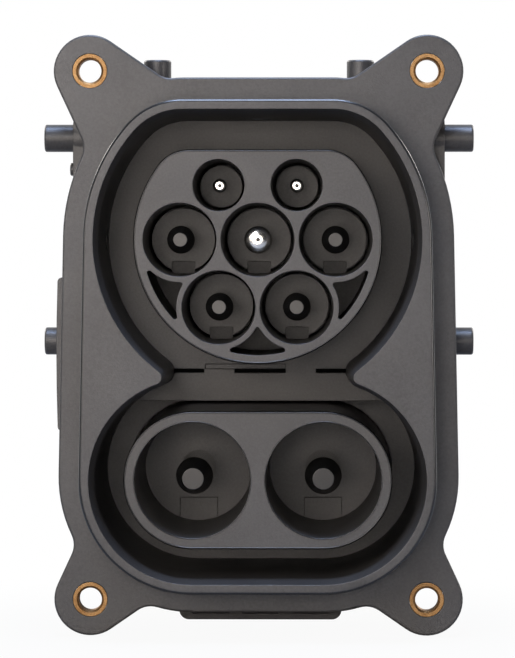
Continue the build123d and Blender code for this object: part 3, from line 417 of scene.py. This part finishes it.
def carried(name, line, out, depth, finish):
    """A closed profile carried along a closed line. Point (i, j) lies out_i from line point j
    along the line's outward normal, which is its direction turned a quarter, at depth_i."""
    along = np.roll(line, -1, axis=0) - np.roll(line, 1, axis=0)
    along /= np.linalg.norm(along, axis=1, keepdims=True)
    outward = np.stack([-along[:, 1], along[:, 0]], axis=1)
    grid = np.empty((len(out), len(line), 3))
    grid[..., 0::2] = line + out[:, None, None] * outward
    grid[..., 1] = depth[:, None]
    grid_skin(name, grid, finish, hollow=True)


def fine_bead(name, line, out, depth, radius, finish):
    """A round bead carried along a line: its profile is a circle about (out, depth)."""
    turn = np.linspace(0, 2 * pi, 13)[:-1]
    carried(name, line, out + radius * np.sin(turn), depth + radius * np.cos(turn), finish)


def insert_edge(name, line, face_y):
    """An insert's outer edge: a smooth bead whose centre lies a little inside the corner, its darker colour
    painted shade, and a black one that lies outside it and deeper, painted shade for the gap."""
    inset, edge_bead, gap_out, gap_depth, gap_shade_bead = 0.06, 0.15, 0.09, 0.4, 0.17
    fine_bead(f"{name}_edge", line, -inset, face_y + inset, edge_bead, smooth_shaded_edge_nylon)
    fine_bead(f"{name}_gap_shade", line, gap_out, face_y + gap_depth, gap_shade_bead, painted_shade_black)


insert_edge("ac_insert", flat_topped_line(ac_insert_radius, ac_insert_top, ac_insert_blend), ac_face_y)
right_end = arc_line(dc_middle, dc_level, dc_insert_radius, 0, 180, 90)
left_end = arc_line(-dc_middle, dc_level, dc_insert_radius, 180, 360, 90)
insert_edge("dc_insert", np.concatenate([right_end, left_end]), dc_face_y)
mouth_inset, mouth_bead = 0.05, 0.14
for name, (x, z) in dc_pins.items():
    mouth = arc_line(x, z, dc_chamber_radius, 0, 360, 121)[:-1]
    fine_bead(
        f"{name}_mouth_edge", mouth, mouth_inset, dc_face_y + mouth_inset, mouth_bead, smooth_shaded_edge_nylon
    )

# The collar's rim is part of the housing's moulding. Its outer edge has a larger round than
# the others and is smooth, so it is laid over the grained nylon as a thin band, whose darker colour is
# painted shade for the dark line along the round.
def collar_line(ac_radius, top, blend, dc_radius):
    """The collar's outline. Its right half is the top corner's arc, the AC arc and the DC arc,
    which a straight side joins where both face the same way: the part of their normal along
    the line between the centres is the difference of the radii over the distance."""
    side, level, corner = top_corner(ac_radius, top, blend)
    step = np.array([dc_middle, dc_level - ac_level])
    far = np.linalg.norm(step)
    lean = (ac_radius - dc_radius) / far
    facing = (lean * step + np.sqrt(1 - lean**2) * np.array([-step[1], step[0]])) / far
    straight = np.degrees(np.arctan2(facing[0], facing[1]))
    right = np.concatenate([
        arc_line(side, level, blend, 0, corner, 30),
        arc_line(0, ac_level, ac_radius, corner, straight, 40)[1:],
        arc_line(dc_middle, dc_level, dc_radius, straight, 180, 50),
    ])
    return np.concatenate([right, right[::-1] * (-1, 1)])


def rim_band(rim_y, edge_round, proud):
    """The band's profile, as how far out and how deep each point is: an arc that is a little
    proud of the moulding's round edge and starts level with the rim, and a last point that
    closes the profile inside the wall."""
    bend = edge_round + proud
    quarter = np.linspace(np.arccos(edge_round / bend), pi / 2, 9)
    out = np.append(bend * np.sin(quarter) - edge_round, -edge_round)
    return out, rim_y + np.append(edge_round - bend * np.cos(quarter), edge_round)


collar_ac_radius, collar_top, collar_blend, collar_dc_radius = 37.95, 30.55, 16.15, 24.65
collar_rim = collar_line(collar_ac_radius, collar_top, collar_blend, collar_dc_radius)
rim_out, rim_depth = rim_band(rim_y=-20.2, edge_round=0.7, proud=0.03)
carried("collar_edge", collar_rim, rim_out, rim_depth, smooth_shaded_edge_nylon)

# Low in the recess are sunk places, formed with the mouldings: a shallow key slot in each
# power chamber's floor, and the three drain slots, which open into the duct behind. A thin plate on
# each floor is painted shade: darker nylon in the key slots, and black in the drain slots for the deep shade there.
def floor_shade_plate(name, x, z, width, height, front, finish):
    """A thin plate on the floor of a sunk place, whose darker finish is painted shade. A row of the
    grid is a rounded rectangle whose corner centres lie at half the width and height less the corner,
    and whose arcs shrink with the row. The first and last rows are its middle."""
    corner, edge, thick = 0.12, 0.03, 0.1
    turn = np.radians(np.concatenate([np.linspace(start, start + 90, 4) for start in (0, 90, 180, 270)]))
    corner_x = (width / 2 - corner) * np.repeat([1, 1, -1, -1], 4)
    corner_z = (height / 2 - corner) * np.repeat([1, -1, -1, 1], 4)
    spread = np.array([0, 1, 1, 1, 0])[:, None]
    bend = np.array([0, corner - edge, corner, corner, 0])[:, None]
    grid = np.empty((5, len(turn), 3))
    grid[..., 0] = x + spread * corner_x + bend * np.sin(turn)
    grid[..., 1] = front + np.array([0, 0, edge, thick, thick])[:, None]
    grid[..., 2] = z + spread * corner_z + bend * np.cos(turn)
    grid_skin(name, grid, finish)


# Painted shade: a darker nylon for the key slots' floors.
shaded_slot_nylon = moulded_plastic(
    "shaded_slot_nylon", (0.020, 0.019, 0.019), (0.036, 0.034, 0.033),
    rough=0.45, smooth=0.38, grain_size=0.3, grain_height=0.04, edge_round=0.02, gleam=0.3,
)
upper_row_x, lower_row_x, lower_row_z = 17.0, 8.5, 6.45
power_places = {
    "l1": (-upper_row_x, ac_level), "earth": (0.0, ac_level), "neutral": (upper_row_x, ac_level),
    "l2": (-lower_row_x, lower_row_z), "l3": (lower_row_x, lower_row_z),
}
key_width, key_height, key_drop, key_front = 5.1, 2.72, 6.22, 9.32
for name, (x, z) in power_places.items():
    floor_shade_plate(
        f"{name}_key_floor_shade", x, z - key_drop, key_width, key_height, key_front, shaded_slot_nylon
    )
drain_height, drain_level, drain_front = 0.86, -8.65, 21.9
for name, x, width in (("left", -16.2, 6.86), ("middle", 0.0, 11.56), ("right", 16.2, 6.86)):
    floor_shade_plate(
        f"{name}_drain_floor_shade", x, drain_level, width, drain_height, drain_front, painted_shade_black
    )

# Contacts: turned copper with a bright silver plate, pushed into the carriers from behind. A
# flat moulded lip closes round each pin at its chamber's floor. Earth and the two signal
# pins are bare to the domed tip, and a small grey disc in the centre of the tip is painted shade for the dimple there.
plated_copper = bare_metal(
    "plated_copper", (0.74, 0.73, 0.70), (0.88, 0.87, 0.84),
    rough=0.24, smooth=0.17, turning=0.12, pores=0.4, relief_depth=0.001,
)
lip_nylon = moulded_plastic(
    "lip_nylon", nylon_dark, nylon_light, nylon_rough, nylon_smooth,
    grain_size=0.28, grain_height=0.04, edge_round=0.02,
)
lip_thickness, lip_cover, lip_proud = 0.4, 0.15, 0.02


def contact(name, x, z, front, steps, crimp):
    """A turned contact. The front is the path from the axis to the shank, each step is a
    depth and the radius that starts there, and the crimp is the tail's end, its bore's
    radius and the depth of the bore's floor."""
    path = [front[-1]]
    for depth, radius in steps:
        path += [(depth, path[-1][1]), (depth, radius)]
    end, bore, floor_depth = crimp
    path += [(end, path[-1][1]), (end, bore), (floor_depth, bore), (floor_depth, 0)]
    path = np.concatenate([np.array(front[:-1]), rounded(path, 0.12)])
    turned(f"{name}_turned", path, x, z, plated_copper, (name,))


def boss_lip(name, x, z, shank, seat, boss_y):
    """The moulded lip round a pin at the chamber's floor: a flat ring that covers the seat, so
    its path runs once round a small rectangle."""
    front, back, inner, outer = boss_y - lip_proud, boss_y + lip_thickness, shank - 0.01, seat + lip_cover
    path = rounded_ring([(front, inner), (front, outer), (back, outer), (back, inner)], 0.02, 0.01)
    turned(f"{name}_boss_lip", path, x, z, lip_nylon, hollow=True)


def bare_tip(tip_y, radius, nose, flat):
    """A front with a flat middle and a domed nose. The dome is a quarter ellipse: with t from
    0 to 90 degrees its radius is flat + (radius - flat) sin t, and its depth nose (1 - cos t)."""
    turn = np.linspace(0, pi / 2, 25)
    dome = zip(tip_y + nose * (1 - np.cos(turn)), flat + (radius - flat) * np.sin(turn))
    return [(tip_y, 0), *dome]


def dimple_shade_disc(name, x, z, tip_y, size):
    """A grey disc in the centre of a bare tip, painted shade for the small dimple there. It stands a
    hair proud: its path is a flat front, a quarter circle at the rim and a short peg."""
    proud, edge, peg = 0.03, 0.08, 0.2
    turn = np.linspace(0, pi / 2, 5)
    rim = np.stack([tip_y + edge - proud - edge * np.cos(turn), size - edge + edge * np.sin(turn)], axis=1)
    path = np.concatenate([[(tip_y - proud, 0)], rim, [(tip_y + peg, size), (tip_y + peg, 0)]])
    turned(f"{name}_dimple_shade_disc", path, x, z, lip_nylon, around=24)


live_pins = {name: place for name, place in power_places.items() if name != "earth"}
power_radius, power_seat, power_boss = 3.0, 3.3, 9.0
ac_shoulder, ac_plate = 27.5, 31.5
power_steps = [(power_boss + lip_thickness, power_seat), (ac_shoulder, 4.6), (ac_plate, 3.8)]
power_crimp = (47.5, 2.5, 36.5)
socket_radius, socket_floor, power_end = 1.25, -5.45, -8.5
live_front = [(socket_floor, 0), (socket_floor, socket_radius), (power_end, socket_radius), (power_end, power_radius)]
for name, (x, z) in live_pins.items():
    contact(f"{name}_pin", x, z, live_front, power_steps, power_crimp)
    boss_lip(name, x, z, power_radius, power_seat, power_boss)

earth_tip = -11.2
earth_front = bare_tip(earth_tip, power_radius, nose=1.4, flat=0.6)
contact("earth_pin", 0, ac_level, earth_front, power_steps, power_crimp)
boss_lip("earth", 0, ac_level, power_radius, power_seat, power_boss)
dimple_shade_disc("earth", 0, ac_level, earth_tip, size=0.5)

signal_radius, signal_seat, signal_boss, signal_tip, signal_level = 1.5, 1.8, 8.2, -7.2, 33.1
signal_steps = [(signal_boss + lip_thickness, signal_seat), (ac_shoulder, 2.8), (ac_plate, 1.8)]
signal_front = bare_tip(signal_tip, signal_radius, nose=0.7, flat=0.72)
signal_crimp = (43.5, 1.0, 32.5)
for name, x in (("control_pilot", -8.5), ("proximity", 8.5)):
    contact(f"{name}_pin", x, signal_level, signal_front, signal_steps, signal_crimp)
    boss_lip(name, x, signal_level, signal_radius, signal_seat, signal_boss)
    dimple_shade_disc(name, x, signal_level, signal_tip, size=0.46)

dc_radius, dc_seat, dc_boss = 4.0, 4.4, 34.4
dc_steps = [(dc_boss + lip_thickness, dc_seat), (40.4, 6.1), (46.4, 5.0), (50.4, 7.5)]
dc_crimp = (76.4, 5.9, 54.4)
dc_socket_radius, dc_socket_floor, dc_end = 1.65, 6.15, 2.1
dc_front = [(dc_socket_floor, 0), (dc_socket_floor, dc_socket_radius), (dc_end, dc_socket_radius), (dc_end, dc_radius)]
for name, (x, z) in dc_pins.items():
    contact(f"{name}_pin", x, z, dc_front, dc_steps, dc_crimp)
    boss_lip(name, x, z, dc_radius, dc_seat, dc_boss)

# Live contacts end in touch-safe caps, turned cones of glossy black resin with a flat tip
# and a peg pressed into the pin. The temperature sensors are cast in the same resin.
cap_resin = moulded_plastic(
    "cap_resin", (0.010,) * 3, (0.014,) * 3,
    rough=0.24, smooth=0.18, grain_size=0.25, grain_height=0.003, edge_round=0.12, gleam=0.33,
)


def touch_safe_caps(pins, tip, base, peg):
    """A cap on each of the pins. Tip, base and peg are a depth and the radius there, and the
    cone runs from the tip to the base."""
    cone = [(tip[0], 0), tip, base, (base[0], peg[1]), peg, (peg[0], 0)]
    for name, (x, z) in pins.items():
        turned(f"{name}_cap", rounded(cone, 0.12), x, z, cap_resin, (f"{name}_pin_cap",))


touch_safe_caps(live_pins, tip=(-13.7, 1.55), base=(power_end, 3.1), peg=(-5.5, 1.2))
touch_safe_caps(dc_pins, tip=(-10.0, 2.4), base=(dc_end, 4.15), peg=(6.1, 1.6))
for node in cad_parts:
    if node.endswith("_temperature_sensor"):
        finish_node(node, cap_resin)

# Screws with a pan head and a hexagon socket hold the carriers, the retainers and the rear
# cover. They are cold-formed steel with a dull zinc plate.
zinc_steel = bare_metal(
    "zinc_steel", (0.42, 0.43, 0.44), (0.62, 0.63, 0.64),
    rough=0.45, smooth=0.28, turning=0.1, pores=0.3, relief_depth=0.01,
)
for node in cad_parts:
    if node.endswith("_screws"):
        whole_skin(node, zinc_steel, crease=30.0)

# The rear cover with its three cable outlets: a moulding of plain black nylon, a little
# darker and smoother than the housing, and screwed to the housing's rear rim.
cover_nylon = moulded_plastic(
    "cover_nylon", (0.024,) * 3, (0.036,) * 3,
    rough=0.46, smooth=0.38, grain_size=0.4, grain_height=0.010, edge_round=0.3,
)
whole_skin("rear_cover", cover_nylon)

# Gland nuts: ribbed caps of black nylon, screwed by hand onto the cover's outlets, where
# they squeeze a soft seal round each cable.
nut_nylon = moulded_plastic(
    "nut_nylon", (0.020, 0.020, 0.021), (0.030, 0.030, 0.032),
    rough=0.42, smooth=0.34, grain_size=0.45, grain_height=0.006, edge_round=0.2,
)
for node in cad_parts:
    if node.endswith("_gland_nut"):
        whole_skin(node, nut_nylon)

# A pale floor just under the object. The camera sees it white, with a faint shadow close to
# the object, and reflections see it white only behind the object. It lights the object as
# plain grey paint does.
floor_reach, floor_gap = 3.0, 0.0005
floor_z = cad_box[0].z - floor_gap
floor_corners = [(x * floor_reach, y * floor_reach, floor_z) for x, y in ((-1, -1), (1, -1), (1, 1), (-1, 1))]
floor_mesh = bpy.data.meshes.new("floor")
floor_mesh.from_pydata(floor_corners, [], [(0, 1, 2, 3)])
floor = bpy.data.objects.new("floor", floor_mesh)
bpy.context.scene.collection.objects.link(floor)


def brought_together(tree, operation, first, second):
    """Two sockets brought together by one Math node."""
    both = tree.nodes.new("ShaderNodeMath")
    both.operation = operation
    tree.links.new(first, both.inputs[0])
    tree.links.new(second, both.inputs[1])
    return both.outputs[0]


def seen_white(tree, behind):
    """1 for a camera ray, and for a mirrored or passed ray the share that behind gives."""
    ray = tree.nodes.new("ShaderNodeLightPath")
    mirrored = brought_together(tree, "MAXIMUM", ray.outputs["Is Glossy Ray"], ray.outputs["Is Transmission Ray"])
    mirrored = brought_together(tree, "MULTIPLY", mirrored, behind)
    return brought_together(tree, "MAXIMUM", ray.outputs["Is Camera Ray"], mirrored)


floor_finish, floor_nodes, floor_link = new_finish("pale_floor")
floor_nodes.clear()
floor_paint = floor_nodes.new("ShaderNodeBsdfDiffuse")
floor_paint.inputs["Color"].default_value = (0.3, 0.3, 0.3, 1)
floor_glow = floor_nodes.new("ShaderNodeEmission")
floor_glow.inputs["Color"].default_value = (1, 1, 1, 1)
floor_place = floor_nodes.new("ShaderNodeTexCoord")
floor_away = floor_nodes.new("ShaderNodeVectorMath")
floor_away.operation = "LENGTH"
floor_split = floor_nodes.new("ShaderNodeSeparateXYZ")
floor_fade = span(floor_nodes, 0.05, 0.16, 0.93, 1.0)
floor_behind = span(floor_nodes, 0.05, 0.3)
floor_link(floor_place.outputs["Object"], floor_away.inputs[0])
floor_link(floor_away.outputs["Value"], floor_fade.inputs["Value"])
floor_link(floor_place.outputs["Object"], floor_split.inputs[0])
floor_link(floor_split.outputs["Y"], floor_behind.inputs["Value"])
floor_seen = seen_white(floor_finish.node_tree, floor_behind.outputs["Result"])
floor_share = brought_together(floor_finish.node_tree, "MULTIPLY", floor_seen, floor_fade.outputs["Result"])
floor_mix = floor_nodes.new("ShaderNodeMixShader")
floor_out = floor_nodes.new("ShaderNodeOutputMaterial")
floor_link(floor_share, floor_mix.inputs["Fac"])
floor_link(floor_paint.outputs[0], floor_mix.inputs[1])
floor_link(floor_glow.outputs[0], floor_mix.inputs[2])
floor_link(floor_mix.outputs[0], floor_out.inputs["Surface"])
floor_mesh.materials.append(floor_finish)

# Studio light: a large soft box round the lens, a bank of four smaller ones to its left, a
# weak one below, one to each side for the recess's walls, two cool panels overhead, and two
# large boxes behind.
def soft_box(name, turn, rise, glow, color, far=650, side=200):
    """A square lamp that faces the origin from a distance. Its direction is turned from the
    front about the vertical and raised, in degrees, and its watts follow from how bright the
    panel looks: glow times pi squared times its area."""
    turn, rise = radians(turn), radians(rise)
    place = Vector((sin(turn) * cos(rise), -cos(turn) * cos(rise), sin(rise))) * far * mm
    lamp = bpy.data.lights.new(name, "AREA")
    lamp.shape = "RECTANGLE"
    lamp.size = lamp.size_y = side * mm
    lamp.energy = glow * pi**2 * (side * mm) ** 2
    lamp.color = color
    holder = bpy.data.objects.new(name, lamp)
    holder.location = place
    holder.rotation_mode = "QUATERNION"
    holder.rotation_quaternion = (-place).to_track_quat("-Z", "Y")
    bpy.context.scene.collection.objects.link(holder)


warm, plain, pale_blue, blue = (1.0, 0.89, 0.81), (1.0, 0.93, 0.87), (0.88, 0.92, 1.0), (0.5, 0.65, 1.0)
soft_box("lens_box", 0, 0, 1.7, plain, far=1100, side=340)
soft_box("bank_near", -15, 12, 2.4, warm)
soft_box("bank_far", -28, 12, 2.2, plain)
soft_box("bank_high", -15, 28, 2.0, pale_blue)
soft_box("bank_low", -10, -8, 2.2, warm)
soft_box("low_box", 0, -25, 1.4, warm)
soft_box("right_side", 54, 5, 2.2, plain)
soft_box("left_side", -52, 5, 1.4, plain)
soft_box("overhead_front", 0, 65, 2.6, pale_blue)
soft_box("overhead", 0, 81, 8.0, blue, side=300)
soft_box("rear_left", -140, 25, 3.0, plain, far=900, side=300)
soft_box("rear_right", 140, 25, 3.0, plain, far=900, side=300)

# The room: white to the camera all round. Reflections show the white backdrop behind the
# object, and the rest of the room is dim.
room = bpy.data.worlds.new("room")
bpy.context.scene.world = room
room.use_nodes = True
room_nodes, room_link = room.node_tree.nodes, room.node_tree.links.new
room_nodes.clear()
room_dim, room_white = room_nodes.new("ShaderNodeBackground"), room_nodes.new("ShaderNodeBackground")
for wall, strength in ((room_dim, 0.02), (room_white, 1.0)):
    wall.inputs["Color"].default_value = (1, 1, 1, 1)
    wall.inputs["Strength"].default_value = strength
room_toward = room_nodes.new("ShaderNodeTexCoord")
room_split = room_nodes.new("ShaderNodeSeparateXYZ")
room_behind = span(room_nodes, 0.0, 0.3)
room_link(room_toward.outputs["Generated"], room_split.inputs[0])
room_link(room_split.outputs["Y"], room_behind.inputs["Value"])
room_mix = room_nodes.new("ShaderNodeMixShader")
room_out = room_nodes.new("ShaderNodeOutputWorld")
room_link(seen_white(room.node_tree, room_behind.outputs["Result"]), room_mix.inputs["Fac"])
room_link(room_dim.outputs[0], room_mix.inputs[1])
room_link(room_white.outputs[0], room_mix.inputs[2])
room_link(room_mix.outputs[0], room_out.inputs["Surface"])
